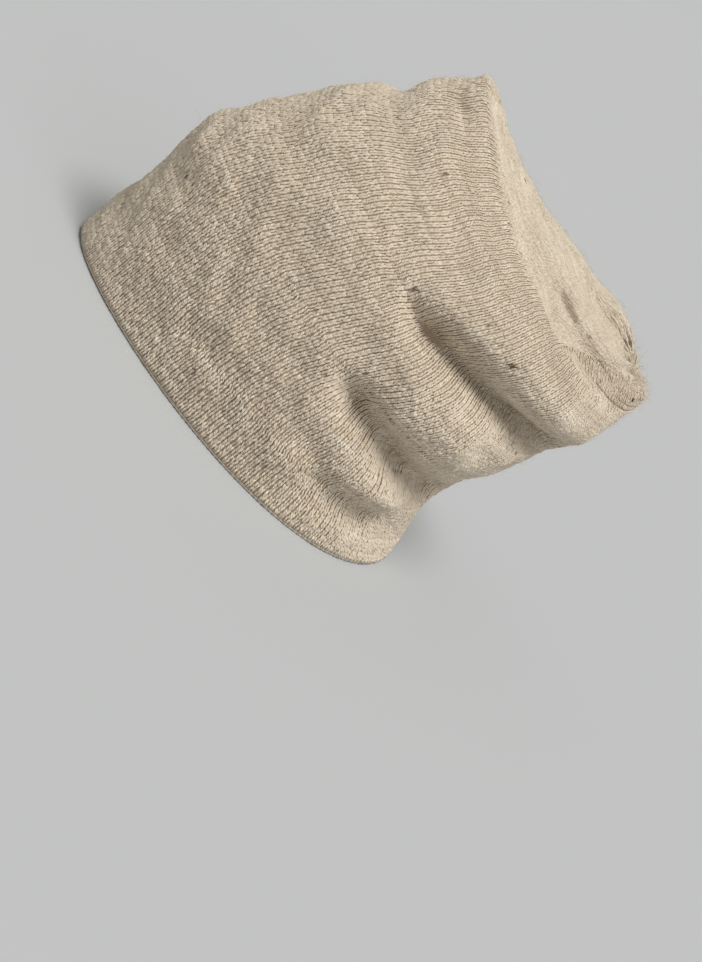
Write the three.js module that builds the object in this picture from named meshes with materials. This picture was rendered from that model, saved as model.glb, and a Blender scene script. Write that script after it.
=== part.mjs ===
// Lined knitted cap: a plain-knit tube drawn together at the crown and slouched to the back,
// standing on its brim, with a smooth inner lining whose turned edge shows below the knitting.
// Millimetres, +Z up. The front of the cap faces -Y and the wearer's left is +X.
// The origin lies under the middle of the cap, at the level that its edge stands on.

import * as THREE from "three";

// Driving sizes of the cap as it stands
const brimLength = 198;
const brimWidth = 150;
const capHeight = 183.5;

// Walls, and how the knitting and the lining meet at the edge
const knitWall = 3.6;
const liningWall = 1.4;
const seamGap = 0.4;
const edgeHeight = 1.3;
const edgeSetback = 0.8;
const liningHeight = 142;

// Folds pressed into the knitting, and the gather that closes its crown
const foldDepth = 13;
const foldWidth = 11;
const foldTurn = 22;
const pleatDepth = 1.6;
const pleatCount = 16;
const pleatReach = 34;
const dimpleDepth = 4;
const dimpleRadius = 11;

// How far the middle of the standing cap lies behind the middle of its brim
const slouchShift = 10.1;

// Steps of the faceted surfaces. A stretch gives the table row that it runs up to.
const knitSides = 64;
const knitStretches = [
  { upTo: 9, steps: 24 },
  { upTo: 16, steps: 12 },
];
const liningSides = 44;
const liningStretches = [
  { upTo: 1, steps: 3 },
  { upTo: 4, steps: 7 },
];
const slopeStep = 0.002;

// Sections of the knitted tube from the brim to the crown, one row each. frontY and backY are
// shares of brimLength measured from the front of the brim, frontZ, backZ and drop are shares of
// capHeight, and half is a share of half the brimWidth. point narrows the front of a section and
// drop lowers its sides.
const knitSections = [
  { frontY: -0.006, frontZ: 0.0, backY: 0.998, backZ: 0.0, half: 0.985, point: 0.22, drop: 0.0 },
  { frontY: -0.003, frontZ: 0.096, backY: 0.983, backZ: 0.082, half: 1.0, point: 0.22, drop: 0.0 },
  { frontY: 0.012, frontZ: 0.204, backY: 0.965, backZ: 0.163, half: 1.01, point: 0.21, drop: 0.0 },
  { frontY: 0.014, frontZ: 0.311, backY: 0.968, backZ: 0.24, half: 1.01, point: 0.2, drop: 0.0 },
  { frontY: 0.018, frontZ: 0.413, backY: 0.987, backZ: 0.313, half: 1.0, point: 0.18, drop: 0.0 },
  { frontY: 0.052, frontZ: 0.504, backY: 1.013, backZ: 0.373, half: 0.98, point: 0.16, drop: 0.0 },
  { frontY: 0.098, frontZ: 0.583, backY: 1.033, backZ: 0.43, half: 0.95, point: 0.15, drop: 0.0 },
  { frontY: 0.147, frontZ: 0.671, backY: 1.053, backZ: 0.478, half: 0.9, point: 0.15, drop: 0.0 },
  { frontY: 0.197, frontZ: 0.753, backY: 1.073, backZ: 0.525, half: 0.83, point: 0.18, drop: 0.0 },
  { frontY: 0.256, frontZ: 0.803, backY: 1.09, backZ: 0.575, half: 0.74, point: 0.2, drop: 0.0 },
  { frontY: 0.285, frontZ: 0.866, backY: 1.1, backZ: 0.62, half: 0.66, point: 0.24, drop: 0.01 },
  { frontY: 0.336, frontZ: 0.945, backY: 1.106, backZ: 0.663, half: 0.56, point: 0.3, drop: 0.03 },
  { frontY: 0.378, frontZ: 0.976, backY: 1.106, backZ: 0.7, half: 0.42, point: 0.3, drop: 0.045 },
  { frontY: 0.462, frontZ: 0.902, backY: 1.106, backZ: 0.728, half: 0.35, point: 0.24, drop: 0.04 },
  { frontY: 0.615, frontZ: 0.862, backY: 1.104, backZ: 0.748, half: 0.3, point: 0.18, drop: 0.02 },
  { frontY: 0.795, frontZ: 0.856, backY: 1.096, backZ: 0.765, half: 0.23, point: 0.12, drop: 0.01 },
  { frontY: 0.94, frontZ: 0.838, backY: 1.083, backZ: 0.778, half: 0.12, point: 0.05, drop: 0.0 },
  { frontY: 1.058, frontZ: 0.782, backY: 1.062, backZ: 0.78, half: 0.003, point: 0.0, drop: 0.0 },
];

// Folds of the knitting as the side view shows them, one row each. side is 1 on the left and -1 on
// the right. A fold runs backwards from y0, z0 to y1, z1, in the shares of knitSections, with its
// middle raised by bow. depth is a share of foldDepth, positive for a valley and negative for a
// ridge, tail is the share of it that is left at the back end, and width is a share of foldWidth.
const folds = [
  { side: 1, y0: 0.585, z0: 0.575, y1: 1.04, z1: 0.5, bow: 0.02, depth: 1.0, tail: 0.7, width: 0.7 },
  { side: 1, y0: 0.68, z0: 0.66, y1: 1.06, z1: 0.63, bow: 0.02, depth: -0.4, tail: 0.3, width: 1.4 },
  { side: 1, y0: 0.66, z0: 0.46, y1: 0.97, z1: 0.4, bow: 0.0, depth: -0.35, tail: 0.3, width: 1.2 },
  { side: 1, y0: 0.6, z0: 0.355, y1: 0.95, z1: 0.24, bow: 0.02, depth: 0.85, tail: 0.7, width: 0.75 },
  { side: 1, y0: 0.7, z0: 0.21, y1: 0.94, z1: 0.175, bow: 0.0, depth: -0.25, tail: 0.3, width: 0.8 },
  { side: 1, y0: 0.7, z0: 0.145, y1: 0.95, z1: 0.105, bow: 0.0, depth: 0.4, tail: 0.7, width: 0.7 },
  { side: -1, y0: 0.62, z0: 0.59, y1: 1.04, z1: 0.5, bow: 0.02, depth: 0.9, tail: 0.6, width: 0.8 },
  { side: -1, y0: 0.7, z0: 0.48, y1: 0.97, z1: 0.41, bow: 0.0, depth: -0.35, tail: 0.3, width: 1.2 },
  { side: -1, y0: 0.66, z0: 0.33, y1: 0.95, z1: 0.23, bow: 0.015, depth: 0.8, tail: 0.6, width: 0.8 },
];

// Sections of the lining, with the columns of knitSections. Its heights are shares of liningHeight.
const liningSections = [
  { frontY: -0.006, frontZ: 0.0, backY: 0.998, backZ: 0.0, half: 0.985, point: 0.22 },
  { frontY: 0.012, frontZ: 0.15, backY: 0.945, backZ: 0.12, half: 0.93, point: 0.2 },
  { frontY: 0.05, frontZ: 0.44, backY: 0.895, backZ: 0.36, half: 0.83, point: 0.16 },
  { frontY: 0.125, frontZ: 0.7, backY: 0.86, backZ: 0.6, half: 0.7, point: 0.1 },
  { frontY: 0.25, frontZ: 0.91, backY: 0.79, backZ: 0.82, half: 0.46, point: 0.05 },
  { frontY: 0.518, frontZ: 1.0, backY: 0.522, backZ: 1.0, half: 0.004, point: 0.0 },
];

function eased(value) {
  const held = THREE.MathUtils.clamp(value, 0, 1);
  return held * held * (3 - 2 * held);
}

// A smooth curve through the rows of a table, with one to three of its columns as coordinates
function curveThrough(rows, ...columns) {
  const points = rows.map((row) => new THREE.Vector3(...columns.map((column) => row[column] ?? 0)));
  return new THREE.CatmullRomCurve3(points, false, "catmullrom", 0.5);
}

// The surface that a table of sections describes. Its place function takes an angle, 0 at the
// front and a quarter turn at the left side, and a row of the table, whole or between two rows.
function sectionSurface(rows, height) {
  const last = rows.length - 1;
  const fronts = curveThrough(rows, "frontY", "frontZ");
  const backs = curveThrough(rows, "backY", "backZ");
  const forms = curveThrough(rows, "half", "point", "drop");
  const place = (angle, row) => {
    const front = fronts.getPoint(row / last);
    const back = backs.getPoint(row / last);
    const form = forms.getPoint(row / last);
    const ahead = Math.cos(angle);
    const aside = Math.sin(angle);
    const across = form.x * aside * (1 - form.y * ahead);
    const along = (front.x + back.x - (back.x - front.x) * ahead) / 2 - 0.5;
    const up = (front.y + back.y + (front.y - back.y) * ahead) / 2 - form.z * aside * aside;
    return new THREE.Vector3(
      (across * brimWidth) / 2,
      along * brimLength - slouchShift,
      up * height,
    );
  };
  return { place, last };
}

// The outward direction at a place on a surface
function outwardAt(surface, angle, row) {
  const low = Math.max(0, row - slopeStep);
  const high = Math.min(surface.last - slopeStep, row + slopeStep);
  const around = surface.place(angle + slopeStep, row).sub(surface.place(angle - slopeStep, row));
  const along = surface.place(angle, high).sub(surface.place(angle, low));
  return around.cross(along).normalize();
}

// The same surface moved outwards by a distance that may depend on the place
function offsetSurface(surface, distanceAt) {
  const place = (angle, row) => {
    const start = surface.place(angle, row);
    const out = outwardAt(surface, angle, row);
    return start.clone().addScaledVector(out, distanceAt(start, angle));
  };
  return { place, last: surface.last };
}

// How deep all the folds together press the cloth in at a place on the smooth tube
function foldDepthAt(place) {
  const y = (place.y + slouchShift) / brimLength + 0.5;
  let pressed = 0;
  for (const fold of folds) {
    const share = THREE.MathUtils.clamp((y - fold.y0) / (fold.y1 - fold.y0), 0, 1);
    const lineY = fold.y0 + (fold.y1 - fold.y0) * share;
    const lineZ = fold.z0 + (fold.z1 - fold.z0) * share + 4 * fold.bow * share * (1 - share);
    const away = Math.hypot((y - lineY) * brimLength, place.z - lineZ * capHeight);
    const spread = away / (fold.width * foldWidth);
    const ends = eased(share * 3) * (1 - (1 - fold.tail) * eased(share * 4 - 3));
    const sided = eased((fold.side * place.x) / foldTurn);
    pressed += fold.depth * foldDepth * ends * sided * Math.exp(-spread * spread);
  }
  return pressed;
}

const smoothTube = sectionSurface(knitSections, capHeight);
const crown = smoothTube.place(0, smoothTube.last);

// Pleats that run into the gathered crown
function pleatAt(place, angle) {
  const reach = place.distanceTo(crown) / pleatReach;
  return pleatDepth * eased(reach * 3) * Math.exp(-4 * reach * reach) * Math.cos(pleatCount * angle);
}

const knitOutside = offsetSurface(smoothTube, (place, angle) => pleatAt(place, angle) - foldDepthAt(place));
const knitInside = offsetSurface(knitOutside, () => -knitWall);

const smoothLining = sectionSurface(liningSections, liningHeight);
const liningOutside = offsetSurface(smoothLining, () => -(knitWall + seamGap));
const liningInside = offsetSurface(smoothLining, () => -(knitWall + seamGap + liningWall));
const liningEdge = offsetSurface(smoothLining, () => -edgeSetback);

function ringOf(surface, sides, row) {
  return Array.from({ length: sides }, (_, side) => surface.place((side / sides) * 2 * Math.PI, row));
}

function levelRing(ring, level) {
  return ring.map((place) => new THREE.Vector3(place.x, place.y, level));
}

// The rows at which rings are made: the first one and then each stretch in even steps
function rowsOf(stretches) {
  const rows = [0];
  for (const { upTo, steps } of stretches) {
    const from = rows.at(-1);
    for (let step = 1; step <= steps; step += 1) {
      rows.push(from + ((upTo - from) * step) / steps);
    }
  }
  return rows;
}

// One closed body from an outer and an inner skin. Each skin is a list of rings from the edge up
// and one point that closes it, and a flat band joins the skins at the edge.
function hollowBody(outer, inner, sides) {
  const positions = [];
  const faces = [];
  const addSkin = ({ rings, top }) => {
    const start = positions.length / 3;
    for (const place of [...rings.flat(), top]) {
      positions.push(place.x, place.y, place.z);
    }
    return start;
  };
  const addFace = (a, b, c, turned) => faces.push(...(turned ? [a, c, b] : [a, b, c]));
  const coverSkin = (start, ringCount, turned) => {
    const top = start + ringCount * sides;
    for (let ring = 0; ring < ringCount; ring += 1) {
      for (let side = 0; side < sides; side += 1) {
        const here = start + ring * sides + side;
        const next = start + ring * sides + ((side + 1) % sides);
        if (ring === ringCount - 1) {
          addFace(here, next, top, turned);
        } else {
          addFace(here, next, next + sides, turned);
          addFace(here, next + sides, here + sides, turned);
        }
      }
    }
  };
  const outerStart = addSkin(outer);
  const innerStart = addSkin(inner);
  coverSkin(outerStart, outer.rings.length, false);
  coverSkin(innerStart, inner.rings.length, true);
  for (let side = 0; side < sides; side += 1) {
    const next = (side + 1) % sides;
    addFace(outerStart + side, innerStart + side, innerStart + next, false);
    addFace(outerStart + side, innerStart + next, outerStart + next, false);
  }
  const geometry = new THREE.BufferGeometry();
  geometry.setAttribute("position", new THREE.Float32BufferAttribute(positions, 3));
  geometry.setIndex(faces);
  geometry.computeVertexNormals();
  return geometry;
}

// The knitted outside. Its lower edge lies flat on the turned edge of the lining, and its crown
// sinks into a dimple where the last stitches are drawn together.
function knitShell() {
  const lastRing = knitStretches.at(-1).upTo;
  const crownFront = smoothTube.place(0, lastRing);
  const crownBack = smoothTube.place(Math.PI, lastRing);
  const sideways = new THREE.Vector3(1, 0, 0);
  const crownUp = sideways.cross(crownBack.clone().sub(crownFront)).normalize();
  const sunk = (place) => {
    const reach = place.distanceTo(crown) / dimpleRadius;
    return place.clone().addScaledVector(crownUp, -dimpleDepth * Math.exp(-reach * reach));
  };
  const ringsOf = (surface) => {
    const rings = rowsOf(knitStretches).map((row) => ringOf(surface, knitSides, row).map(sunk));
    rings[0] = levelRing(rings[0], edgeHeight + seamGap);
    return rings;
  };
  const outerTop = sunk(crown);
  const innerTop = outerTop.clone().addScaledVector(crownUp, -knitWall);
  const outer = { rings: ringsOf(knitOutside), top: outerTop };
  const inner = { rings: ringsOf(knitInside), top: innerTop };
  return hollowBody(outer, inner, knitSides);
}

// The lining: a smooth inner cap whose lower edge is turned outwards under the knitting
function lining() {
  const rows = rowsOf(liningStretches);
  const edge = ringOf(liningEdge, liningSides, 0);
  const outerRings = rows.map((row) => ringOf(liningOutside, liningSides, row));
  const innerRings = rows.map((row) => ringOf(liningInside, liningSides, row));
  outerRings[0] = levelRing(outerRings[0], edgeHeight);
  outerRings.unshift(levelRing(edge, 0), levelRing(edge, edgeHeight));
  innerRings[0] = levelRing(innerRings[0], 0);
  const top = smoothLining.place(0, smoothLining.last);
  const below = (depth) => new THREE.Vector3(top.x, top.y, top.z - depth);
  const outer = { rings: outerRings, top: below(knitWall + seamGap) };
  const inner = { rings: innerRings, top: below(knitWall + seamGap + liningWall) };
  return hollowBody(outer, inner, liningSides);
}

const tweedWool = new THREE.MeshStandardMaterial({ color: 0xbfaf99, roughness: 0.95, metalness: 0 });
const jersey = new THREE.MeshStandardMaterial({ color: 0xb3aa9b, roughness: 0.85, metalness: 0 });

function piece(name, geometry, material) {
  const mesh = new THREE.Mesh(geometry, material);
  mesh.name = name;
  return mesh;
}

const cap = new THREE.Group();
cap.add(piece("knit_shell", knitShell(), tweedWool));
cap.add(piece("lining", lining(), jersey));

export default cap;
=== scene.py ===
"""A lined knit cap, dressed round its solids: stitches, hem, lining, flecks and wool hairs.

Lengths are in metres. +Y runs to the back of the cap, +X is the wearer's left and +Z is up.
"""

import math

import bpy
import numpy as np
from mathutils import Matrix, Vector


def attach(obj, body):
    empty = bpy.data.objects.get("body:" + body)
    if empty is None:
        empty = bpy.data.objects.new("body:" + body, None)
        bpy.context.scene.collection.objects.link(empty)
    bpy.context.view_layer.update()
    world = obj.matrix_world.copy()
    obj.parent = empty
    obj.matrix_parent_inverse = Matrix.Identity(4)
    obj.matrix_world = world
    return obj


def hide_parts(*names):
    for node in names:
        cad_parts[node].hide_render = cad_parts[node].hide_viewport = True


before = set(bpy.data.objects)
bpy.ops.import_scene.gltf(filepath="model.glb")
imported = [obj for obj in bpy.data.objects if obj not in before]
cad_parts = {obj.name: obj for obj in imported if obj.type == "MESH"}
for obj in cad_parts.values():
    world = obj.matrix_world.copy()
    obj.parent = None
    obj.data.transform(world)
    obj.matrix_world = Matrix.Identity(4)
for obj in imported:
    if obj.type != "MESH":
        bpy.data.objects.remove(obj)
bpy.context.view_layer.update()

MM = 0.001
TURN = 2 * math.pi

# Sizes of the solids that the knitting and the lining follow
BRIM_LENGTH = 198 * MM
BRIM_WIDTH = 150 * MM
CAP_HEIGHT = 183.5 * MM
KNIT_WALL = 3.6 * MM
LINING_WALL = 1.4 * MM
SEAM_GAP = 0.4 * MM
EDGE_HEIGHT = 1.3 * MM
EDGE_SETBACK = 0.8 * MM
LINING_HEIGHT = 142 * MM
SLOUCH_SHIFT = 10.1 * MM  # forwards, so that the slouched cap lies about the origin
FOLD_DEPTH = 13 * MM
FOLD_WIDTH = 11 * MM
FOLD_TURN = 22 * MM
FOLD_STARTS = 3  # a fold deepens over the first third of its length
FOLD_ENDS = 4  # and changes to what is left of it over the last quarter
PLEAT_DEPTH = 1.6 * MM
PLEAT_COUNT = 16
PLEAT_REACH = 34 * MM
PLEAT_STARTS = 3  # pleats deepen over the first third of their reach
PLEAT_FADE = 4  # how fast they fade beyond it
DIMPLE_DEPTH = 4 * MM
DIMPLE_RADIUS = 11 * MM
SLACK_HEIGHT = 0.5 * MM  # of the waves in the loose knitting
SLACK_WAVES = (11 * MM, 30 * MM)  # their shortest and longest
SLACK_ROW = 1.5  # the row of the table from which they are whole

# Where a corner in the line of the front points shows, by the cosine of the angle: from this
# value, and growing over the next
CORNER_FROM = 0.5
CORNER_OVER = 0.45

# Loops of the knitting from the brim to the crown. Columns: front y, front z, back y, back z,
# half width, point of the front, drop of the sides. They are shares of brim length, cap height
# and half the brim width.
KNIT_LOOPS = [
    (-0.006, 0.0, 0.998, 0.0, 0.985, 0.22, 0.0),
    (-0.003, 0.096, 0.983, 0.082, 1.0, 0.22, 0.0),
    (0.012, 0.204, 0.965, 0.163, 1.01, 0.21, 0.0),
    (0.014, 0.311, 0.968, 0.24, 1.01, 0.2, 0.0),
    (0.018, 0.413, 0.987, 0.313, 1.0, 0.18, 0.0),
    (0.052, 0.504, 1.013, 0.373, 0.98, 0.16, 0.0),
    (0.098, 0.583, 1.033, 0.43, 0.95, 0.15, 0.0),
    (0.147, 0.671, 1.053, 0.478, 0.9, 0.15, 0.0),
    (0.197, 0.753, 1.073, 0.525, 0.83, 0.18, 0.0),
    (0.256, 0.803, 1.09, 0.575, 0.74, 0.2, 0.0),
    (0.285, 0.866, 1.1, 0.62, 0.66, 0.24, 0.01),
    (0.336, 0.945, 1.106, 0.663, 0.56, 0.3, 0.03),
    (0.378, 0.976, 1.106, 0.7, 0.42, 0.3, 0.045),
    (0.474, 0.918, 1.106, 0.728, 0.35, 0.24, 0.04),
    (0.624, 0.874, 1.104, 0.748, 0.3, 0.18, 0.02),
    (0.795, 0.856, 1.096, 0.765, 0.23, 0.12, 0.01),
    (0.94, 0.838, 1.083, 0.778, 0.12, 0.05, 0.0),
    (1.058, 0.782, 1.062, 0.78, 0.003, 0.0, 0.0),
]

# Loops of the lining, with the same columns and heights as shares of lining height
LINING_LOOPS = [
    (-0.006, 0.0, 0.998, 0.0, 0.985, 0.22, 0.0),
    (0.012, 0.15, 0.945, 0.12, 0.93, 0.2, 0.0),
    (0.05, 0.44, 0.895, 0.36, 0.83, 0.16, 0.0),
    (0.125, 0.7, 0.86, 0.6, 0.7, 0.1, 0.0),
    (0.25, 0.91, 0.79, 0.82, 0.46, 0.05, 0.0),
    (0.518, 1.0, 0.522, 1.0, 0.004, 0.0, 0.0),
]

# Folds pressed into the knitting. Columns: side (1 left, -1 right), start y and z, end y and z,
# how far the middle bows up, depth (a ridge is negative), share of it left at the end, width.
# Depth and width are shares of FOLD_DEPTH and FOLD_WIDTH.
FOLDS = [
    (1, 0.56, 0.568, 1.05, 0.505, 0.025, 1.25, 0.85, 0.64),
    (1, 0.66, 0.65, 1.06, 0.62, 0.02, -0.5, 0.4, 1.2),
    (1, 0.66, 0.46, 0.97, 0.4, 0.0, -0.35, 0.3, 1.2),
    (1, 0.585, 0.358, 0.96, 0.225, 0.02, 0.95, 0.8, 0.68),
    (1, 0.7, 0.21, 0.94, 0.175, 0.0, -0.25, 0.3, 0.8),
    (1, 0.7, 0.145, 0.95, 0.105, 0.0, 0.4, 0.7, 0.7),
    (-1, 0.62, 0.59, 1.04, 0.5, 0.02, 0.9, 0.6, 0.8),
    (-1, 0.7, 0.48, 0.97, 0.41, 0.0, -0.35, 0.3, 1.2),
    (-1, 0.66, 0.33, 0.95, 0.23, 0.015, 0.8, 0.6, 0.8),
]

# Finer creases that only the knitting shows, with the columns of FOLDS
CREASES = [
    (1, 0.77, 0.795, 1.07, 0.78, -0.04, 0.2, 0.8, 0.35),
    (1, 0.8, 0.8, 0.875, 0.775, 0.0, 0.14, 1.0, 0.12),
    (1, 0.815, 0.775, 0.885, 0.74, -0.01, 0.14, 1.0, 0.12),
    (1, 0.82, 0.75, 0.91, 0.73, -0.01, 0.12, 1.0, 0.12),
    (1, 0.57, 0.585, 0.72, 0.565, 0.0, 0.25, 0.4, 0.35),
    (1, 0.325, 0.915, 0.395, 0.905, 0.0, 0.3, 0.8, 0.4),
    (-1, 0.8, 0.79, 0.98, 0.77, 0.0, 0.16, 0.6, 0.4),
]

COURSES = 120  # rows of stitches from the brim to the crown
CROWN_SPACING = 1.95 * MM  # how tight the wales come before some end at the crease lines
COURSE_SPACING = 1.9 * MM  # where courses crowd, a stitch spans two, four or more of them
MOST_DOUBLINGS = 4  # a stitch spans at most one course doubled this often, which is 16
WALE_KEPT = 0.7  # a wale stays on until less than 0.3 of it is left
HEM_ROW = 0.1  # the row of the table at which the first course lies
FRONT_COSINE = 0.9  # courses are spaced as they lie where the cosine of the angle is above this
CROWN_FROM = 0.97  # share of the way up at which stitches begin to face out of the crown
CROWN_OVER = 0.02  # and the share over which they turn to it
YARN_HIGH = 1.05 * MM  # how far a stitch stands over its bed
# Flatter, more felted yarn higher up: share of the way up, share of the height
YARN_WEAR = [(0, 1), (0.3, 0.92), (0.5, 0.68), (1, 0.5)]
YARN_BED = 0.9 * MM  # how far below the outside the stitches start

# The four panels in which wales run beside each other up to a crease line at each side of the
# crown. Columns: 1 at the back or 0 at the front, side (1 left, -1 right), wales in the panel
PANELS = [
    (0, 1, 60),
    (0, -1, 60),
    (1, 1, 36),
    (1, -1, 36),
]
WIDEST_PANEL = max(wales for _, _, wales in PANELS)
WALES = sum(wales for _, _, wales in PANELS)  # round the brim, 2.85 mm apart

# Where the crease lines lie, in degrees from the front, by share of the way up
CREASE_LINE = [
    (0, 112),
    (0.63, 110),
    (0.67, 114),
    (0.76, 120),
    (0.86, 126),
    (0.93, 133),
    (1, 140),
]
ARC_STEPS = 240  # even steps in which a half loop is measured

# How far back the wales swing, in radians at the sides, by share of the way up
SWING = [(0, 0), (0.15, 0.08), (0.3, 0.12), (0.45, 0.11), (0.6, 0.07), (0.8, 0.07), (1, 0.07)]

# One leg of a stitch from its foot to its head. Columns: shares of a wale across, shares of a
# course along, half the yarn's width in wales, height over the bed in yarn heights
LEG = [
    (0.15, -0.6, 0.0, 0.5),
    (0.185, -0.02, 0.22, 0.93),
    (0.235, 0.72, 0.235, 1.0),
    (0.28, 1.4, 0.0, 0.4),
]
# The leg cut across, from the middle of the wale outwards: share of the half width, share of the
# height. The two legs of a stitch touch, so the inner foot is high and the outer one at the bed.
LEG_SECTION = [(-1.0, 0.35), (-0.5, 0.92), (0.45, 1.0), (1.0, 0.0)]
LEG_POINTS = 2 + 2 * len(LEG_SECTION)  # a tip, two rings and a tip

# How uneven the stitches are, as standard deviations
WALE_WANDER = 0.045  # across, in wales
COURSE_WANDER = 0.06  # along, in courses
PLUMPNESS = 0.1  # share of a leg's width and height
LIFT = 0.12 * MM  # height of a leg

# The shade of a stitch: its middle, how far runs of the yarn and single stitches depart from it,
# and the runs themselves as lengths in stitches with their strengths
SHADE_MIDDLE = 0.32
SHADE_OF_RUNS = 0.2
SHADE_OF_STITCH = 0.04
SHADE_RUNS = [(5, 0.5), (19, 0.35), (61, 0.25)]

# How the twist lies on a leg: texture lengths along and around, and how far legs start apart
TWIST_LENGTHS = (1.2, 1.5)
TWIST_SCATTER = 9

# Dark flecks in the wool as the side view shows them: place along, place up, radius. The places
# are shares of brim length and cap height.
FLECKS = [
    (0.361, 0.856, 0.7 * MM),
    (0.457, 0.798, 0.5 * MM),
    (0.591, 0.845, 0.6 * MM),
    (0.748, 0.670, 0.7 * MM),
    (0.849, 0.645, 1.2 * MM),
    (1.087, 0.737, 0.8 * MM),
    (0.962, 0.497, 0.7 * MM),
    (1.002, 0.469, 0.8 * MM),
    (0.763, 0.361, 0.7 * MM),
    (0.411, 0.101, 0.9 * MM),
    (0.394, 0.163, 0.7 * MM),
    (0.592, 0.600, 1.0 * MM),
]
STRAY_FLECKS = 70  # smaller ones scattered over the whole cap
STRAY_COURSES = (0.02, 0.97)  # where they lie, by share of the way up
STRAY_RADII = (0.3, 0.6)  # in millimetres
FLECK_RAGGED = (0.7, 1.8)  # a fleck reaches less or more far into each leg
SEEN_FROM_SIDE = 0.05  # least sideways part of the outward direction where one is drawn

# The turned edge of the lining cut across: shares of RIM_DEPTH inwards, shares of its height
RIM_ROLL = [(0.35, 0.0), (0.05, 0.18), (0.0, 0.5), (0.1, 0.82), (0.35, 1.0)]
RIM_DEPTH = 1.5 * MM
RIM_SETBACK = 0.3 * MM  # behind the solid's edge, so that the rim shows as a thin line
RING_CLEARANCE = 0.05  # the next rings lie this share of EDGE_HEIGHT above the rim's own

# Rings and points of the wall behind the stitches and of the lining
GROUND_SIDES = 288
GROUND_RINGS = 170
GROUND_TOP = 0.997  # share of the way up at which the wall closes
GROUND_DEPTH = 0.9  # how deep it lies under the outside, in depths of the bed
GROUND_INNER_STEP = 4  # the inside has one ring for this many outside
HEM_ROUNDING = 0.1  # how far the foot of the wall leans in to the hem
LINING_SIDES = 240
LINING_RINGS = 80
LINING_TOP = 0.02  # rows of the table left open at the top, which a point closes
JERSEY_SIDE = 2.2  # millimetres from point to point round the lining
JERSEY_RING = 2.0  # and from ring to ring
JERSEY_WALE = 0.8  # millimetres between the wales of a fine jersey

# Loose hairs of 0.03 mm are too fine to show, so they are drawn up to 0.07 mm wide
HAIRS = 15000
HAIR_COURSES = (0.002, 0.995)  # where they are rooted, by share of the way up
HAIR_ROOT = 0.1 * MM  # how deep under the outside
HAIR_SLOPE = (0.15, 1.1)  # least and greatest rise off the cloth
HAIR_DROOP = 0.55  # how much of the rise the end loses
HAIR_CURL = 0.9  # how far a hair bends aside
HAIR_TWIST = 0.7  # how far its flat side turns to the cloth
HAIR_SHORTEST = 1.2 * MM
HAIR_GROWTH = (3.0, 0.9 * MM)  # shape and scale of the gamma spread of the rest of the length
HAIR_HALF_WIDTH = (0.018, 0.035)  # in millimetres
HAIR_TAPER = [(0, 1), (0.35, 0.9), (0.7, 0.6), (1.0, 0.0)]  # share of length, share of width
HAIR_CLEARANCE = 0.2 * MM  # least height over the floor

STITCH_BANDS = [
    ("stitches_hem", 0, 24),
    ("stitches_low", 24, 48),
    ("stitches_middle", 48, 72),
    ("stitches_high", 72, 96),
    ("stitches_crown", 96, COURSES),
]

random = np.random.default_rng(4)


# The form of the cap


def eased(value):
    held = np.clip(value, 0, 1)
    return held * held * (3 - 2 * held)


def unit(vectors):
    return vectors / np.maximum(np.linalg.norm(vectors, axis=-1, keepdims=True), 1e-12)


def smooth_rows(table, row):
    """The rows of a table joined by a smooth curve, read at rows that may lie between two."""
    rows = np.array(table, float)
    rows = np.vstack([2 * rows[0] - rows[1], rows, 2 * rows[-1] - rows[-2]])
    last = len(table) - 1
    start = np.clip(np.floor(row).astype(int), 0, last - 1)
    part = (row - start)[..., None]
    a, b, c, d = (rows[start + step] for step in range(4))
    curve = 2 * b + (c - a) * part + (2 * a - 5 * b + 4 * c - d) * part**2
    return 0.5 * (curve + (3 * b - a - 3 * c + d) * part**3)


def softened(table, passes=3):
    """The same table with its front points evened out between their neighbours."""
    rows = np.array(table, float)
    for _ in range(passes):
        rows[1:-1, :2] = (rows[:-2, :2] + 2 * rows[1:-1, :2] + rows[2:, :2]) / 4
    return rows


def tube(loops, height, angle, row):
    """Places on the tube that a table of loops describes; angle 0 is the front.

    A corner in the line of the front points, such as the tip, fades out towards the sides.
    """
    ahead = np.cos(angle)
    near_front = eased((ahead - CORNER_FROM) / CORNER_OVER)[..., None]
    sharp, soft = smooth_rows(loops, row), smooth_rows(softened(loops), row)
    form = np.moveaxis(sharp * near_front + soft * (1 - near_front), -1, 0)
    front_y, front_z, back_y, back_z, half, point, drop = form
    aside = np.sin(angle)
    across = half * aside * (1 - point * ahead) * BRIM_WIDTH / 2
    along = (front_y + back_y - (back_y - front_y) * ahead) / 2 - 0.5
    up = (front_z + back_z + (front_z - back_z) * ahead) / 2 - drop * aside**2
    return np.stack([across, along * BRIM_LENGTH - SLOUCH_SHIFT, up * height], -1)


def tube_outward(loops, height, angle, row, step=0.002):
    last = len(loops) - 1
    around = tube(loops, height, angle + step, row) - tube(loops, height, angle - step, row)
    low = np.maximum(row - step, 0)
    high = np.minimum(row + step, last - step)
    along = tube(loops, height, angle, high) - tube(loops, height, angle, low)
    return unit(np.cross(around, along))


def pressed_by(table, places):
    """How deep the folds of a table together press the knitting in."""
    y = (places[..., 1] + SLOUCH_SHIFT) / BRIM_LENGTH + 0.5
    pressed = np.zeros(y.shape)
    for side, y0, z0, y1, z1, bow, depth, tail, width in table:
        share = np.clip((y - y0) / (y1 - y0), 0, 1)
        line_y = y0 + (y1 - y0) * share
        line_z = z0 + (z1 - z0) * share + 4 * bow * share * (1 - share)
        away = np.hypot((y - line_y) * BRIM_LENGTH, places[..., 2] - line_z * CAP_HEIGHT)
        lost = (1 - tail) * eased(share * FOLD_ENDS - (FOLD_ENDS - 1))
        ends = eased(share * FOLD_STARTS) * (1 - lost)
        sided = eased(side * places[..., 0] / FOLD_TURN)
        section = np.exp(-((away / (width * FOLD_WIDTH)) ** 2))
        pressed += depth * FOLD_DEPTH * ends * sided * section
    return pressed


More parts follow.
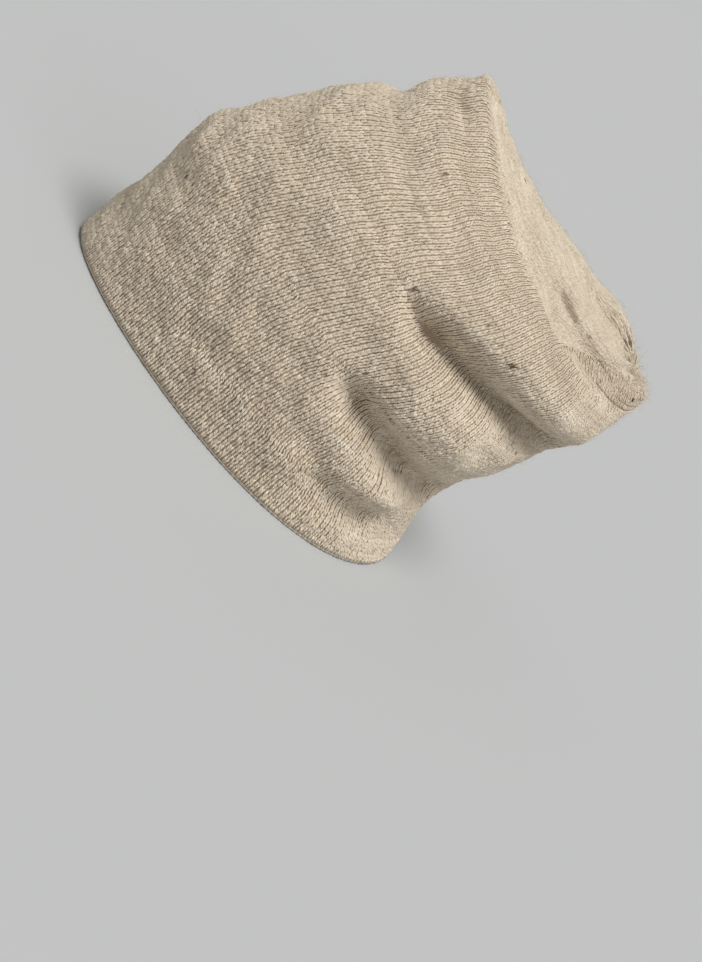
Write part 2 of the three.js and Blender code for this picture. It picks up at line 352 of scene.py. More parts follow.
def slack(places, count=30):
    """Soft unevenness of loose knitting: long low waves in many directions."""
    waves = random.normal(size=(count, 3))
    waves = unit(waves) * TURN / random.uniform(*SLACK_WAVES, (count, 1))
    phases = random.uniform(0, TURN, count)
    total = np.zeros(places.shape[:-1])
    for wave, phase in zip(waves, phases):
        total += np.sin(places @ wave + phase)
    return total * SLACK_HEIGHT / math.sqrt(count / 2)


CROWN_ROW = len(KNIT_LOOPS) - 1
crown = tube(KNIT_LOOPS, CAP_HEIGHT, np.array(0.0), np.array(float(CROWN_ROW)))
row_before = np.array(CROWN_ROW - 1.0)
crown_across = tube(KNIT_LOOPS, CAP_HEIGHT, np.array(math.pi), row_before)
crown_across = crown_across - tube(KNIT_LOOPS, CAP_HEIGHT, np.array(0.0), row_before)
crown_up = unit(np.cross([1.0, 0.0, 0.0], crown_across))


def knit_surface(angle, row):
    """The outside of the knitting with its folds, creases, pleats and drawn-in crown."""
    places = tube(KNIT_LOOPS, CAP_HEIGHT, angle, row)
    outward = tube_outward(KNIT_LOOPS, CAP_HEIGHT, angle, row)
    reach = np.linalg.norm(places - crown, axis=-1)
    pleats = eased(PLEAT_STARTS * reach / PLEAT_REACH)
    pleats = pleats * np.exp(-PLEAT_FADE * (reach / PLEAT_REACH) ** 2)
    raised = PLEAT_DEPTH * pleats * np.cos(PLEAT_COUNT * angle)
    raised += slack(places) * eased(row / SLACK_ROW) - pressed_by(FOLDS, places)
    raised -= pressed_by(CREASES, places)
    places = places + outward * raised[..., None]
    away = np.linalg.norm(places - crown, axis=-1)
    sunk = DIMPLE_DEPTH * np.exp(-((away / DIMPLE_RADIUS) ** 2))
    return places - crown_up * sunk[..., None]


def knit_net(sides=720, rows=900, steps=600):
    """Places and outward directions on a net of angles and courses; every course closes.

    Courses follow the loops of the table, spaced as they lie on the front of the cap.
    """
    angle = np.arange(sides)[:, None] * TURN / sides + np.zeros((1, rows))
    row = np.zeros((sides, 1)) + np.linspace(HEM_ROW, CROWN_ROW, rows)[None, :]
    places = knit_surface(angle, row)
    steps_up = np.linalg.norm(np.diff(places, axis=1), axis=-1)
    travelled = np.concatenate([np.zeros((sides, 1)), np.cumsum(steps_up, axis=1)], axis=1)
    travelled = travelled / travelled[:, -1:]
    on_front = travelled[np.cos(angle[:, 0]) > FRONT_COSINE].mean(0)
    even = np.linspace(0, 1, steps + 1)
    net = np.empty((sides, steps + 1, 3))
    for side in range(sides):
        for axis in range(3):
            net[side, :, axis] = np.interp(even, on_front, places[side, :, axis])
    around = np.roll(net, -1, axis=0) - np.roll(net, 1, axis=0)
    along = np.gradient(net, axis=1)
    outward = unit(np.cross(around, along))
    near_crown = eased((even - CROWN_FROM) / CROWN_OVER)[None, :, None]
    outward = unit(outward * (1 - near_crown) + crown_up * near_crown)
    return np.concatenate([net, net[:1]]), np.concatenate([outward, outward[:1]])


def read_grid(grid, across, up):
    """Values of a grid at shares, 0 to 1, of its two ways; they may lie between its lines."""
    a = np.clip(across, 0, 1) * (grid.shape[0] - 1)
    b = np.clip(up, 0, 1) * (grid.shape[1] - 1)
    column = np.minimum(a.astype(int), grid.shape[0] - 2)
    row = np.minimum(b.astype(int), grid.shape[1] - 2)
    part_a, part_b = a - column, b - row
    if grid.ndim == 3:
        part_a, part_b = part_a[..., None], part_b[..., None]
    here = grid[column, row] * (1 - part_b) + grid[column, row + 1] * part_b
    there = grid[column + 1, row] * (1 - part_b) + grid[column + 1, row + 1] * part_b
    return here * (1 - part_a) + there * part_a


def read_net(net, angle, course):
    return read_grid(net, np.mod(angle / TURN, 1), course / COURSES)


def half_loop_arcs(net):
    """How far along its half loop each angle up to half a turn lies, both sides averaged."""
    half = len(net) // 2
    left, right = net[: half + 1], net[half:][::-1]
    steps = [np.linalg.norm(np.diff(side, axis=0), axis=-1) for side in (left, right)]
    arcs = np.cumsum((steps[0] + steps[1]) / 2, axis=0)
    return np.vstack([np.zeros((1, arcs.shape[1])), arcs])


net, net_outward = knit_net()
arcs = half_loop_arcs(net)
arc_courses = np.linspace(0, COURSES, arcs.shape[1])
half_arcs = arcs[-1]
crease_degrees = np.interp(arc_courses / COURSES, *np.array(CREASE_LINE).T)
crease_columns = np.round(crease_degrees / 180 * (len(arcs) - 1)).astype(int)
front_arcs = arcs[crease_columns, np.arange(arcs.shape[1])]
even_shares = np.linspace(0, 1, ARC_STEPS + 1)
half_angles = np.linspace(0, math.pi, len(arcs))
arc_angles = [np.interp(even_shares, arc / arc[-1], half_angles) for arc in arcs.T]
arc_angles = np.stack(arc_angles, 1)


def panel_facts(panel):
    """Whether each panel number is at the back, its side and its wales."""
    facts = np.array(PANELS)[np.asarray(panel, int)]
    return facts[..., 0] == 1, facts[..., 1], facts[..., 2]


def wale_spacing(panel, course):
    """Spacing of a panel's wales at a course, and how many of them, whole or part, are left."""
    at_back, _, wales = panel_facts(panel)
    front = np.interp(course, arc_courses, front_arcs)
    half = np.interp(course, arc_courses, half_arcs)
    length = np.where(at_back, half - front, front)
    spacing = np.maximum(length / wales, CROWN_SPACING)
    return spacing, length / spacing


def wale_angle(panel, wale, course):
    """The angle of a wale, counted from its panel's middle line, at a course or between two."""
    at_back, side, _ = panel_facts(panel)
    spacing, _ = wale_spacing(panel, course)
    share = (wale + 0.5) * spacing / np.interp(course, arc_courses, half_arcs)
    angle = read_grid(arc_angles, np.where(at_back, 1 - share, share), course / COURSES)
    shares, swings = np.array(SWING).T
    return side * (angle + np.interp(course / COURSES, shares, swings) * np.sin(angle))


# Meshes


def add_piece(name, places, faces, material, slot=None, replaces=None):
    """A smooth mesh from arrays of places and of faces with as many corners each."""
    mesh = bpy.data.meshes.new(name)
    mesh.vertices.add(len(places))
    mesh.vertices.foreach_set("co", np.asarray(places, np.float32).ravel())
    corners = np.asarray(faces, np.int32)
    mesh.loops.add(corners.size)
    mesh.loops.foreach_set("vertex_index", corners.ravel())
    mesh.polygons.add(len(corners))
    starts = np.arange(0, corners.size, corners.shape[1], dtype=np.int32)
    mesh.polygons.foreach_set("loop_start", starts)
    mesh.polygons.foreach_set("use_smooth", np.ones(len(corners), bool))
    mesh.update(calc_edges=True)
    mesh.materials.append(material)
    piece = bpy.data.objects.new(name, mesh)
    bpy.context.collection.objects.link(piece)
    if slot:
        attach(piece, "root")
    if replaces:
        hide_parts(replaces)
    return piece


def give_values(piece, name, values):
    """One number for each corner point of a piece, for its material to read."""
    attribute = piece.data.attributes.new(name, "FLOAT", "POINT")
    attribute.data.foreach_set("value", np.asarray(values, np.float32).ravel())


def give_uv(piece, name, coordinates):
    """Texture coordinates of a piece, one pair for each point."""
    layer = piece.data.uv_layers.new(name=name)
    corners = np.empty(len(piece.data.loops), np.int32)
    piece.data.loops.foreach_get("vertex_index", corners)
    layer.uv.foreach_set("vector", np.asarray(coordinates, np.float32)[corners].ravel())


# Materials


# Sockets that share their name with others go by number: those of a Math node that multiplies
# and adds, and those of a Mix node that mixes colours
TIMES_THIS, TIMES_THAT, PLUS = 0, 1, 2
MIX_SHARE, MIX_FROM, MIX_TO, MIXED = 0, 6, 7, 2
WAVE_TURN = 20  # radians that a wave texture turns in a unit of length


def linear(hex_colour):
    """An sRGB hex colour as the linear RGBA that a shader takes."""
    parts = [int(hex_colour[place : place + 2], 16) / 255 for place in (1, 3, 5)]
    parts = [
        part / 12.92 if part <= 0.04045 else ((part + 0.055) / 1.055) ** 2.4 for part in parts
    ]
    return (*parts, 1.0)


def add_node(tree, kind, inputs=None, **settings):
    """A node with its settings; each input takes a value or the output that feeds it."""
    node = tree.nodes.new(kind)
    for name, value in settings.items():
        setattr(node, name, value)
    for name, value in (inputs or {}).items():
        if isinstance(value, bpy.types.NodeSocket):
            tree.links.new(value, node.inputs[name])
        else:
            node.inputs[name].default_value = value
    return node


def new_material(name):
    """An empty material with its output, ready for a shader."""
    material = bpy.data.materials.new(name)
    material.use_nodes = True
    tree = material.node_tree
    tree.nodes.clear()
    return material, tree, tree.nodes.new("ShaderNodeOutputMaterial")


def make_tweed_wool():
    """Spun wool yarn in undyed shades: matt and soft, with pale edges from its loose fibres."""
    material, tree, output = new_material("spun_tweed_wool")
    place = add_node(tree, "ShaderNodeTexCoord")
    tint = add_node(tree, "ShaderNodeAttribute", attribute_name="tint")
    fleck = add_node(tree, "ShaderNodeAttribute", attribute_name="fleck")
    # Wool fibres of 0.03 mm are too fine to show, so they are drawn 0.35 mm wide
    fibre = add_node(
        tree,
        "ShaderNodeTexNoise",
        {
            "Vector": place.outputs["Object"],
            "Scale": 1 / (0.7 * MM),
            "Detail": 3.0,
            "Roughness": 0.65,
        },
    )
    # The shade also drifts over about three stitches
    cloud = add_node(
        tree,
        "ShaderNodeTexNoise",
        {"Vector": place.outputs["Object"], "Scale": 1 / (9 * MM), "Detail": 2.0},
    )
    shade = add_node(
        tree,
        "ShaderNodeMath",
        {TIMES_THIS: fibre.outputs["Fac"], TIMES_THAT: 0.55, PLUS: tint.outputs["Fac"]},
        operation="MULTIPLY_ADD",
    )
    shade = add_node(
        tree,
        "ShaderNodeMath",
        {TIMES_THIS: cloud.outputs["Fac"], TIMES_THAT: 0.2, PLUS: shade.outputs["Value"]},
        operation="MULTIPLY_ADD",
    )
    level = add_node(
        tree,
        "ShaderNodeMapRange",
        {"Value": shade.outputs["Value"], "From Min": 0.3, "From Max": 1.2},
    )
    wool = add_node(
        tree,
        "ShaderNodeMix",
        {
            MIX_SHARE: level.outputs["Result"],
            MIX_FROM: linear("#b3a28c"),
            MIX_TO: linear("#ece1ce"),
        },
        data_type="RGBA",
    )
    colour = add_node(
        tree,
        "ShaderNodeMix",
        {
            MIX_SHARE: fleck.outputs["Fac"],
            MIX_FROM: wool.outputs[MIXED],
            MIX_TO: linear("#4a3524"),
        },
        data_type="RGBA",
    )
    yarn = add_node(tree, "ShaderNodeUVMap", uv_map="yarn")
    # The two plies of the yarn turn round each other about every 2.5 mm
    ply = add_node(
        tree,
        "ShaderNodeTexWave",
        {"Vector": yarn.outputs["UV"], "Scale": 0.6, "Distortion": 1.2, "Detail": 1.0},
        wave_type="BANDS",
        bands_direction="DIAGONAL",
    )
    relief = add_node(
        tree,
        "ShaderNodeMath",
        {TIMES_THIS: fibre.outputs["Fac"], TIMES_THAT: 1.2, PLUS: ply.outputs["Fac"]},
        operation="MULTIPLY_ADD",
    )
    bump = add_node(
        tree,
        "ShaderNodeBump",
        {"Height": relief.outputs["Value"], "Strength": 0.7, "Distance": 0.25 * MM},
    )
    wool_shader = add_node(
        tree,
        "ShaderNodeBsdfPrincipled",
        {
            "Base Color": colour.outputs[MIXED],
            "Normal": bump.outputs["Normal"],
            "Roughness": 0.95,
            "IOR": 1.54,
            "Specular IOR Level": 0.2,
            "Sheen Weight": 0.35,
            "Sheen Roughness": 0.6,
            "Sheen Tint": linear("#efe4d4"),
        },
    )
    tree.links.new(wool_shader.outputs["BSDF"], output.inputs["Surface"])
    return material


def make_painted_shade_bed():
    """The inner side of the same wool, painted darker as the shade that the eye sees between
    stitches.
    """
    material, tree, output = new_material("wool_ground_painted_shade")
    place = add_node(tree, "ShaderNodeTexCoord")
    # Its fibres are drawn 0.55 mm wide, coarser than they are
    fibre = add_node(
        tree,
        "ShaderNodeTexNoise",
        {
            "Vector": place.outputs["Object"],
            "Scale": 1 / (1.1 * MM),
            "Detail": 3.0,
            "Roughness": 0.6,
        },
    )
    # Darker wool colours than the yarn's: painted shade for the dark between the stitches
    colour = add_node(
        tree,
        "ShaderNodeMix",
        {
            MIX_SHARE: fibre.outputs["Fac"],
            MIX_FROM: linear("#8a7964"),
            MIX_TO: linear("#b3a189"),
        },
        data_type="RGBA",
    )
    bump = add_node(
        tree,
        "ShaderNodeBump",
        {"Height": fibre.outputs["Fac"], "Strength": 0.6, "Distance": 0.4 * MM},
    )
    ground = add_node(
        tree,
        "ShaderNodeBsdfPrincipled",
        {
            "Base Color": colour.outputs[MIXED],
            "Normal": bump.outputs["Normal"],
            "Roughness": 1.0,
            "Specular IOR Level": 0.1,
        },
    )
    tree.links.new(ground.outputs["BSDF"], output.inputs["Surface"])
    return material


def make_jersey():
    """Fine machine-knitted viscose jersey: smooth, slightly silky, with fine ribs up its face."""
    material, tree, output = new_material("fine_viscose_jersey")
    place = add_node(tree, "ShaderNodeTexCoord")
    ribs = add_node(tree, "ShaderNodeUVMap", uv_map="ribs")
    rib = add_node(
        tree,
        "ShaderNodeTexWave",
        {
            "Vector": ribs.outputs["UV"],
            "Scale": TURN / WAVE_TURN / JERSEY_WALE,
            "Distortion": 0.6,
            "Detail": 1.0,
        },
        wave_type="BANDS",
        bands_direction="X",
    )
    # Its fibres are drawn 0.45 mm wide, coarser than they are
    fibre = add_node(
        tree,
        "ShaderNodeTexNoise",
        {"Vector": place.outputs["Object"], "Scale": 1 / (0.9 * MM), "Detail": 2.0},
    )
    colour = add_node(
        tree,
        "ShaderNodeMix",
        {
            MIX_SHARE: fibre.outputs["Fac"],
            MIX_FROM: linear("#c9bba6"),
            MIX_TO: linear("#e2d7c5"),
        },
        data_type="RGBA",
    )
    relief = add_node(
        tree,
        "ShaderNodeMath",
        {TIMES_THIS: fibre.outputs["Fac"], TIMES_THAT: 0.5, PLUS: rib.outputs["Fac"]},
        operation="MULTIPLY_ADD",
    )
    bump = add_node(
        tree,
        "ShaderNodeBump",
        {"Height": relief.outputs["Value"], "Strength": 0.5, "Distance": 0.15 * MM},
    )
    jersey = add_node(
        tree,
        "ShaderNodeBsdfPrincipled",
        {
            "Base Color": colour.outputs[MIXED],
            "Normal": bump.outputs["Normal"],
            "Roughness": 0.75,
            "IOR": 1.5,
            "Specular IOR Level": 0.35,
            "Sheen Weight": 0.2,
            "Sheen Roughness": 0.4,
        },
    )
    tree.links.new(jersey.outputs["BSDF"], output.inputs["Surface"])
    return material


def make_wool_hair():
    """Loose fibres of the wool that stand off the yarn and catch the light as a pale haze."""
    material, tree, output = new_material("loose_wool_hairs")
    place = add_node(tree, "ShaderNodeTexCoord")
    # The shade changes from one tuft to the next, about 6 mm on
    shade = add_node(
        tree,
        "ShaderNodeTexNoise",
        {"Vector": place.outputs["Object"], "Scale": 1 / (6 * MM), "Detail": 2.0},
    )
    colour = add_node(
        tree,
        "ShaderNodeMix",
        {
            MIX_SHARE: shade.outputs["Fac"],
            MIX_FROM: linear("#b5a48e"),
            MIX_TO: linear("#e6dbca"),
        },
        data_type="RGBA",
    )
    hair = add_node(
        tree,
        "ShaderNodeBsdfPrincipled",
        {"Base Color": colour.outputs[MIXED], "Roughness": 0.7, "Specular IOR Level": 0.3},
    )
    tree.links.new(hair.outputs["BSDF"], output.inputs["Surface"])
    return material


def make_floor_paint():
    """Matt painted board of a photographer's table: pale cool grey with a barely uneven tone."""
    material, tree, output = new_material("matt_painted_board")
    place = add_node(tree, "ShaderNodeTexCoord")
    # The tone drifts over about a third of a metre
    cloud = add_node(
        tree,
        "ShaderNodeTexNoise",
        {"Vector": place.outputs["Object"], "Scale": 3.0, "Detail": 2.0},
    )
    colour = add_node(
        tree,
        "ShaderNodeMix",
        {
            MIX_SHARE: cloud.outputs["Fac"],
            MIX_FROM: linear("#b0b2b3"),
            MIX_TO: linear("#b5b7b8"),
        },
        data_type="RGBA",
    )
    paint = add_node(
        tree,
        "ShaderNodeBsdfPrincipled",
        {"Base Color": colour.outputs[MIXED], "Roughness": 0.85, "Specular IOR Level": 0.2},
    )
    tree.links.new(paint.outputs["BSDF"], output.inputs["Surface"])
    return material


tweed_wool = make_tweed_wool()
# The ground's material is painted shade: the wool made darker for the dark between stitches
painted_shade_bed = make_painted_shade_bed()
jersey = make_jersey()
wool_hair = make_wool_hair()
floor_paint = make_floor_paint()


# The knitting


def stitch_places(first_course, last_course):
    """Panel, wale, course and span in courses of each stitch in a band of courses."""
    found = []
    for course in range(first_course, last_course):
        for panel in range(len(PANELS)):
            _, left = wale_spacing(panel, course + 0.5)
            wale = np.arange(math.floor(float(left) + WALE_KEPT))
            same = np.ones(len(wale), int)
            found.append(np.stack([panel * same, wale, course * same], 1))
    found = np.vstack(found)
    panel, wale, course = found.T
    foot = read_net(net, wale_angle(panel, wale, course), course)
    head = read_net(net, wale_angle(panel, wale, course + 1.0), course + 1.0)
    step = np.linalg.norm(head - foot, axis=-1)
    doublings = np.clip(np.round(np.log2(COURSE_SPACING / step)), 0, MOST_DOUBLINGS)
    span = 2 ** doublings.astype(int)
    return np.column_stack([found, span])[course % span == 0]


def yarn_shades(stitches):
    """Light and dark lengths of the tweed yarn, which runs round the cap course by course."""
    panel, wale, course = stitches[:, 0], stitches[:, 1], stitches[:, 2]
    position = course * WALES + panel * WIDEST_PANEL + wale
    length = WALES * (COURSES + 2)
    shade = np.zeros(length)
    for span, strength in SHADE_RUNS:
        knots = random.uniform(-1, 1, length // span + 3)
        shade += strength * np.interp(np.arange(length) / span, np.arange(len(knots)), knots)
    return shade[position]


def fleck_places():
    """Middles and radii of the dark flecks, the drawn ones first and then the stray ones."""
    left = net[: len(net) // 2].reshape(-1, 3)
    left_outward = net_outward[: len(net) // 2].reshape(-1, 3)
    left = left[left_outward[:, 0] > SEEN_FROM_SIDE]
    middles = []
    for along, up, _ in FLECKS:
        y = (along - 0.5) * BRIM_LENGTH - SLOUCH_SHIFT
        away = np.hypot(left[:, 1] - y, left[:, 2] - up * CAP_HEIGHT)
        middles.append(left[np.argmin(away)])
    angle = random.uniform(0, TURN, STRAY_FLECKS)
    course = COURSES * random.uniform(*STRAY_COURSES, STRAY_FLECKS)
    radii = [radius for _, _, radius in FLECKS]
    stray_radii = random.uniform(*STRAY_RADII, STRAY_FLECKS) * MM
    return np.vstack([middles, read_net(net, angle, course)]), np.concatenate([radii, stray_radii])


fleck_middles, fleck_radii = fleck_places()


def fleck_share(points):
    """How dark a fleck makes each point: 1 within its radius, fading to 0 at twice as far."""
    share = np.zeros(points.shape[:-1])
    raggedness = random.uniform(*FLECK_RAGGED, (len(points), 1))
    for middle, radius in zip(fleck_middles, fleck_radii):
        away = np.linalg.norm(points - middle, axis=-1) * raggedness
        share = np.maximum(share, eased(2 - away / radius))
    return share


def leg_points(stitches, hand):
    """One leg of each stitch: a tip, two four-cornered rings and a tip, ten points in all."""
    across, along, half, high = np.array(LEG).T
    tips = (0, len(LEG) - 1)
    count = len(stitches)
    panel, wale, course = stitches[:, 0:1], stitches[:, 1:2], stitches[:, 2:3]
    wale = wale + hand * across + random.normal(0, WALE_WANDER, (count, len(LEG)))
    course = course + stitches[:, 3:4] * (along + random.normal(0, COURSE_WANDER, (count, 1)))
    angle = wale_angle(panel, wale, course)
    places = read_net(net, angle, course)
    beside = read_net(net, wale_angle(panel, wale + 0.5, course), course)
    outward = unit(read_net(net_outward, angle, course))
    run = unit(np.gradient(places, axis=1))
    sideways = unit(np.cross(run, outward))
    spacing = 2 * np.linalg.norm(beside - places, axis=-1)
    plump = random.normal(1, PLUMPNESS, (count, 1))
    lift = random.normal(0, LIFT, (count, 1))
    at_back, side, _ = panel_facts(panel)
    outer_way = hand * side * np.where(at_back, -1, 1)
    shares, heights = np.array(LEG_SECTION).T
    shares = np.where(outer_way > 0, shares, -shares[::-1])
    heights = np.where(outer_way > 0, heights, heights[::-1])
    wear = np.interp(stitches[:, 2:3] / COURSES, *np.array(YARN_WEAR).T)
    stations = []
    for station in range(len(LEG)):
        start = places[:, station]
        out = outward[:, station]
        if station in tips:
            tip = start + out * (high[station] * YARN_HIGH * wear - YARN_BED)
            stations.append(tip[:, None])
            continue
        spread = shares * half[station] * spacing[:, station : station + 1] * plump
        rise = heights * (high[station] * YARN_HIGH * plump + lift) * wear - YARN_BED
        ring = start[:, None] + sideways[:, station, None] * spread[..., None]
        stations.append(ring + out[:, None] * rise[..., None])
    return np.concatenate(stations, 1)


def make_stitches(name, first_course, last_course):
    """A band of stockinette: two plump slanting legs to each stitch, as one joined mesh."""
    stitches = stitch_places(first_course, last_course)
    count = len(stitches)
    shade = SHADE_MIDDLE + SHADE_OF_RUNS * yarn_shades(stitches)
    shade = shade + random.normal(0, SHADE_OF_STITCH, count)
    points = np.concatenate([leg_points(stitches, hand) for hand in (-1, 1)])
    corners = len(LEG_SECTION)
    foot, low, high, head = 0, 1, 1 + corners, 1 + 2 * corners
    one_leg = []
    for corner in range(corners):
        beside = (corner + 1) % corners
        one_leg.append((foot, low + corner, low + beside))
        one_leg.append((low + corner, high + corner, high + beside))
        one_leg.append((low + corner, high + beside, low + beside))
        one_leg.append((head, high + beside, high + corner))
    starts = np.arange(len(points))[:, None, None] * LEG_POINTS
    faces = (np.array(one_leg)[None] + starts).reshape(-1, 3)
    places = points.reshape(-1, 3)
    piece = add_piece(name, places, faces, tweed_wool, "tweed_wool", "knit_shell")
    give_values(piece, "tint", np.tile(shade, 2)[:, None] * np.ones((1, LEG_POINTS)))
    give_values(piece, "fleck", fleck_share(points))
    along = [0, 1, 1, 1, 1, 2, 2, 2, 2, 3]
    around = [0, 0, 0.3, 0.7, 1, 0, 0.3, 0.7, 1, 0]
    offset = random.uniform(0, TWIST_SCATTER, (len(points), 1, 1))
    uv = np.stack([along, around], 1)[None] * np.array(TWIST_LENGTHS) + offset
    give_uv(piece, "yarn", uv.reshape(-1, 2))


def closed_skin(rings):
    """Points and triangles of a body from rings; a point closes its first and last ring."""
    count, sides = rings.shape[:2]
    side = np.arange(sides)
    beside = np.roll(side, -1)
    faces = []
    for low in range(0, (count - 1) * sides, sides):
        faces.append(np.stack([low + side, low + beside, low + sides + beside], 1))
        faces.append(np.stack([low + side, low + sides + beside, low + sides + side], 1))
    first_tip = count * sides
    last = first_tip - sides
    faces.append(np.stack([side, np.full(sides, first_tip), beside], 1))
    faces.append(np.stack([last + side, last + beside, np.full(sides, first_tip + 1)], 1))
    points = np.vstack([rings.reshape(-1, 3), rings[0].mean(0), rings[-1].mean(0)])
    return points, np.vstack(faces)


def above(rings, level):
    """The first ring, and those of the others that lie wholly above a level."""
    kept = rings[:, :, 2].min(1) > level
    kept[0] = True
    return rings[kept]


def make_yarn_ground():
    """The closed wall that the stitches stand on, with a rounded hem."""
    angle = np.arange(GROUND_SIDES)[None, :] * TURN / GROUND_SIDES
    courses = np.linspace(0, COURSES * GROUND_TOP, GROUND_RINGS)[:, None]
    grid_angle = angle + 0 * courses
    grid_course = courses + 0 * angle
    places = read_net(net, grid_angle, grid_course)
    outward = unit(read_net(net_outward, grid_angle, grid_course))
    outer = places - outward * YARN_BED * GROUND_DEPTH
    inner = (places - outward * KNIT_WALL)[::GROUND_INNER_STEP][::-1]
    hem = (outer[0] + inner[-1]) / 2
    hem[:, 2] = EDGE_HEIGHT + SEAM_GAP
    outer_hem = outer[0] * (1 - HEM_ROUNDING) + hem * HEM_ROUNDING
    outer_hem[:, 2] = EDGE_HEIGHT
    rings = np.concatenate([inner, hem[None], outer_hem[None], outer], 0)
    points, faces = closed_skin(rings)
    # The wall takes the painted shade material, darker wool for the shadow between the stitches
    add_piece("knit_ground", points, faces, painted_shade_bed, "tweed_wool", "knit_shell")


def make_lining():
    """The jersey inner cap with its rolled edge turned out under the knitting."""
    angle = np.arange(LINING_SIDES)[None, :] * TURN / LINING_SIDES
    rows = np.linspace(0, len(LINING_LOOPS) - 1 - LINING_TOP, LINING_RINGS)[:, None]
    grid_angle = angle + 0 * rows
    grid_row = rows + 0 * angle
    places = tube(LINING_LOOPS, LINING_HEIGHT, grid_angle, grid_row)
    outward = tube_outward(LINING_LOOPS, LINING_HEIGHT, grid_angle, grid_row)
    outer = places - outward * (KNIT_WALL + SEAM_GAP)
    inner = places - outward * (KNIT_WALL + SEAM_GAP + LINING_WALL)
    level = np.array([1.0, 1.0, 0.0])
    flat_outward = unit(outward[0] * level)
    edge = places[0] * level - flat_outward * (EDGE_SETBACK + RIM_SETBACK)
    rim = []
    for inwards, height in RIM_ROLL:
        ring = edge - flat_outward * inwards * RIM_DEPTH
        rim.append(ring + np.array([0, 0, height * EDGE_HEIGHT]))
    outer[0] = outer[0] * level + np.array([0, 0, EDGE_HEIGHT])
    inner[0] = inner[0] * level
    outer = above(outer, (1 + RING_CLEARANCE) * EDGE_HEIGHT)
    inner = above(inner, RING_CLEARANCE * EDGE_HEIGHT)
    rings = np.concatenate([inner[::-1], np.array(rim), outer], 0)
    points, faces = closed_skin(rings)
    piece = add_piece("lining_jersey", points, faces, jersey, "jersey", "lining")
    around = np.tile(np.arange(LINING_SIDES) * JERSEY_SIDE, len(rings))
    along = np.repeat(np.arange(len(rings)) * JERSEY_RING, LINING_SIDES)
    closing_points = np.zeros((2, 2))
    give_uv(piece, "ribs", np.vstack([np.stack([around, along], 1), closing_points]))


def make_hairs():
    """Loose fibres: thin curling strips rooted in the stitches all over the knitting."""
    each = (HAIRS, 1)
    angle = random.uniform(0, TURN, HAIRS)
    course = COURSES * random.uniform(*HAIR_COURSES, HAIRS)
    outward = unit(read_net(net_outward, angle, course))
    start = read_net(net, angle, course) - outward * HAIR_ROOT
    heading = unit(np.cross(outward, random.normal(size=(HAIRS, 3))))
    rise = random.uniform(*HAIR_SLOPE, each)
    length = random.gamma(*HAIR_GROWTH, each) + HAIR_SHORTEST
    bend = unit(np.cross(heading, outward)) * random.normal(0, HAIR_CURL, each)
    half = random.uniform(*HAIR_HALF_WIDTH, each) * MM
    side = unit(np.cross(heading, outward) + outward * random.normal(0, HAIR_TWIST, each))
    points = []
    for share, width in HAIR_TAPER:
        lifted = outward * rise * (share - HAIR_DROOP * share**2)
        station = start + (heading * share + lifted + bend * share**2 * 0.5) * length
        points.append(station - side * half * width)
        if width:
            points.append(station + side * half * width)
    points = np.stack(points, 1)
    points[..., 2] = np.maximum(points[..., 2], HAIR_CLEARANCE)
    one_hair = [(0, 1, 3), (0, 3, 2), (2, 3, 5), (2, 5, 4), (4, 5, 6)]
    starts = np.arange(HAIRS)[:, None, None] * points.shape[1]
    faces = (np.array(one_hair)[None] + starts).reshape(-1, 3)
    places = points.reshape(-1, 3)
    add_piece("wool_hairs", places, faces, wool_hair, "tweed_wool", "knit_shell")


for band in STITCH_BANDS:
    make_stitches(*band)
make_yarn_ground()
make_lining()
make_hairs()


# Floor, light and camera

FLOOR_HALF = 8.0
FLOOR_DROP = 0.1 * MM  # under the brim, so that no faces coincide
floor_corners = [(-FLOOR_HALF, -FLOOR_HALF, 0), (FLOOR_HALF, -FLOOR_HALF, 0)]
floor_corners += [(FLOOR_HALF, FLOOR_HALF, 0), (-FLOOR_HALF, FLOOR_HALF, 0)]
floor = add_piece("floor", floor_corners, [(0, 1, 2, 3)], floor_paint)
floor.location.z = -FLOOR_DROP


def add_soft_light(name, towards, spread, strength, colour):
    """A wide soft light in a direction from the cap, so far off that the floor is evenly lit."""
    light = bpy.data.lights.new(name, "SUN")
    light.angle = math.radians(spread)
    light.energy = strength
    light.color = linear(colour)[:3]
    lamp = bpy.data.objects.new(name, light)
    lamp.location = towards
    lamp.rotation_euler = (-Vector(towards)).to_track_quat("-Z", "Y").to_euler()
    bpy.context.collection.objects.link(lamp)


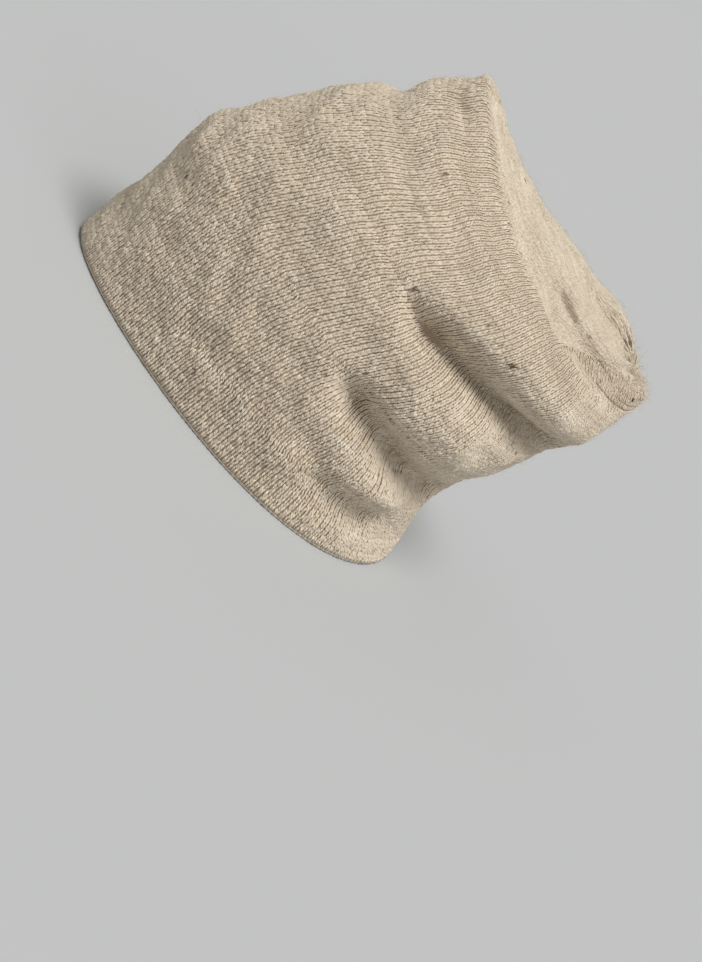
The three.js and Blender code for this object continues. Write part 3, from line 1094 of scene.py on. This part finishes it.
add_soft_light("key_light", (0.9, 0.4, 2.1), spread=26, strength=2.75, colour="#fffefb")
add_soft_light("fill_light", (1.6, 1.0, 0.9), spread=50, strength=0.5, colour="#f4f7ff")

world = bpy.data.worlds.new("soft_room")
world.use_nodes = True
background = world.node_tree.nodes["Background"]
background.inputs["Color"].default_value = linear("#ebe9e6")
background.inputs["Strength"].default_value = 0.42
bpy.context.scene.world = world
bpy.context.scene.view_settings.view_transform = "Standard"

# The camera looks at the left side from 16 degrees up, and is rolled so that the brim runs from
# the upper left to the lower right. Pixels are those of a 702 by 962 image.
CAMERA_DISTANCE = 1.3
CAMERA_RISE = math.radians(16)
CAMERA_ROLL = math.radians(47.8)
FOCAL_PIXELS = 2988.5
AIM = Vector((0, -2.1 * MM, 85 * MM))
AIM_PIXEL = (385, 282)
IMAGE_SIZE = (702, 962)
SIGHT_END = 40  # metres


def add_camera():
    """The camera, turned so that the aim point falls on its pixel without any lens shift."""
    towards = Vector((math.cos(CAMERA_RISE), 0, math.sin(CAMERA_RISE)))
    back_of_cap = Vector((0, 1, 0))
    upright = Vector((-math.sin(CAMERA_RISE), 0, math.cos(CAMERA_RISE)))
    right = back_of_cap * math.cos(CAMERA_ROLL) + upright * math.sin(CAMERA_ROLL)
    up = upright * math.cos(CAMERA_ROLL) - back_of_cap * math.sin(CAMERA_ROLL)
    level = Matrix((right, up, towards)).transposed()
    across = (AIM_PIXEL[0] - IMAGE_SIZE[0] / 2) / FOCAL_PIXELS
    down = (AIM_PIXEL[1] - IMAGE_SIZE[1] / 2) / FOCAL_PIXELS
    ray = Vector((across, -down, -1)).normalized()
    turn = ray.rotation_difference(Vector((0, 0, -1))).to_matrix()
    data = bpy.data.cameras.new("camera")
    data.lens = FOCAL_PIXELS * data.sensor_width / max(IMAGE_SIZE)
    data.clip_end = SIGHT_END
    camera = bpy.data.objects.new("camera", data)
    stand = Matrix.Translation(AIM + towards * CAMERA_DISTANCE)
    camera.matrix_world = stand @ (level @ turn).to_4x4()
    bpy.context.collection.objects.link(camera)
    bpy.context.scene.camera = camera


add_camera()
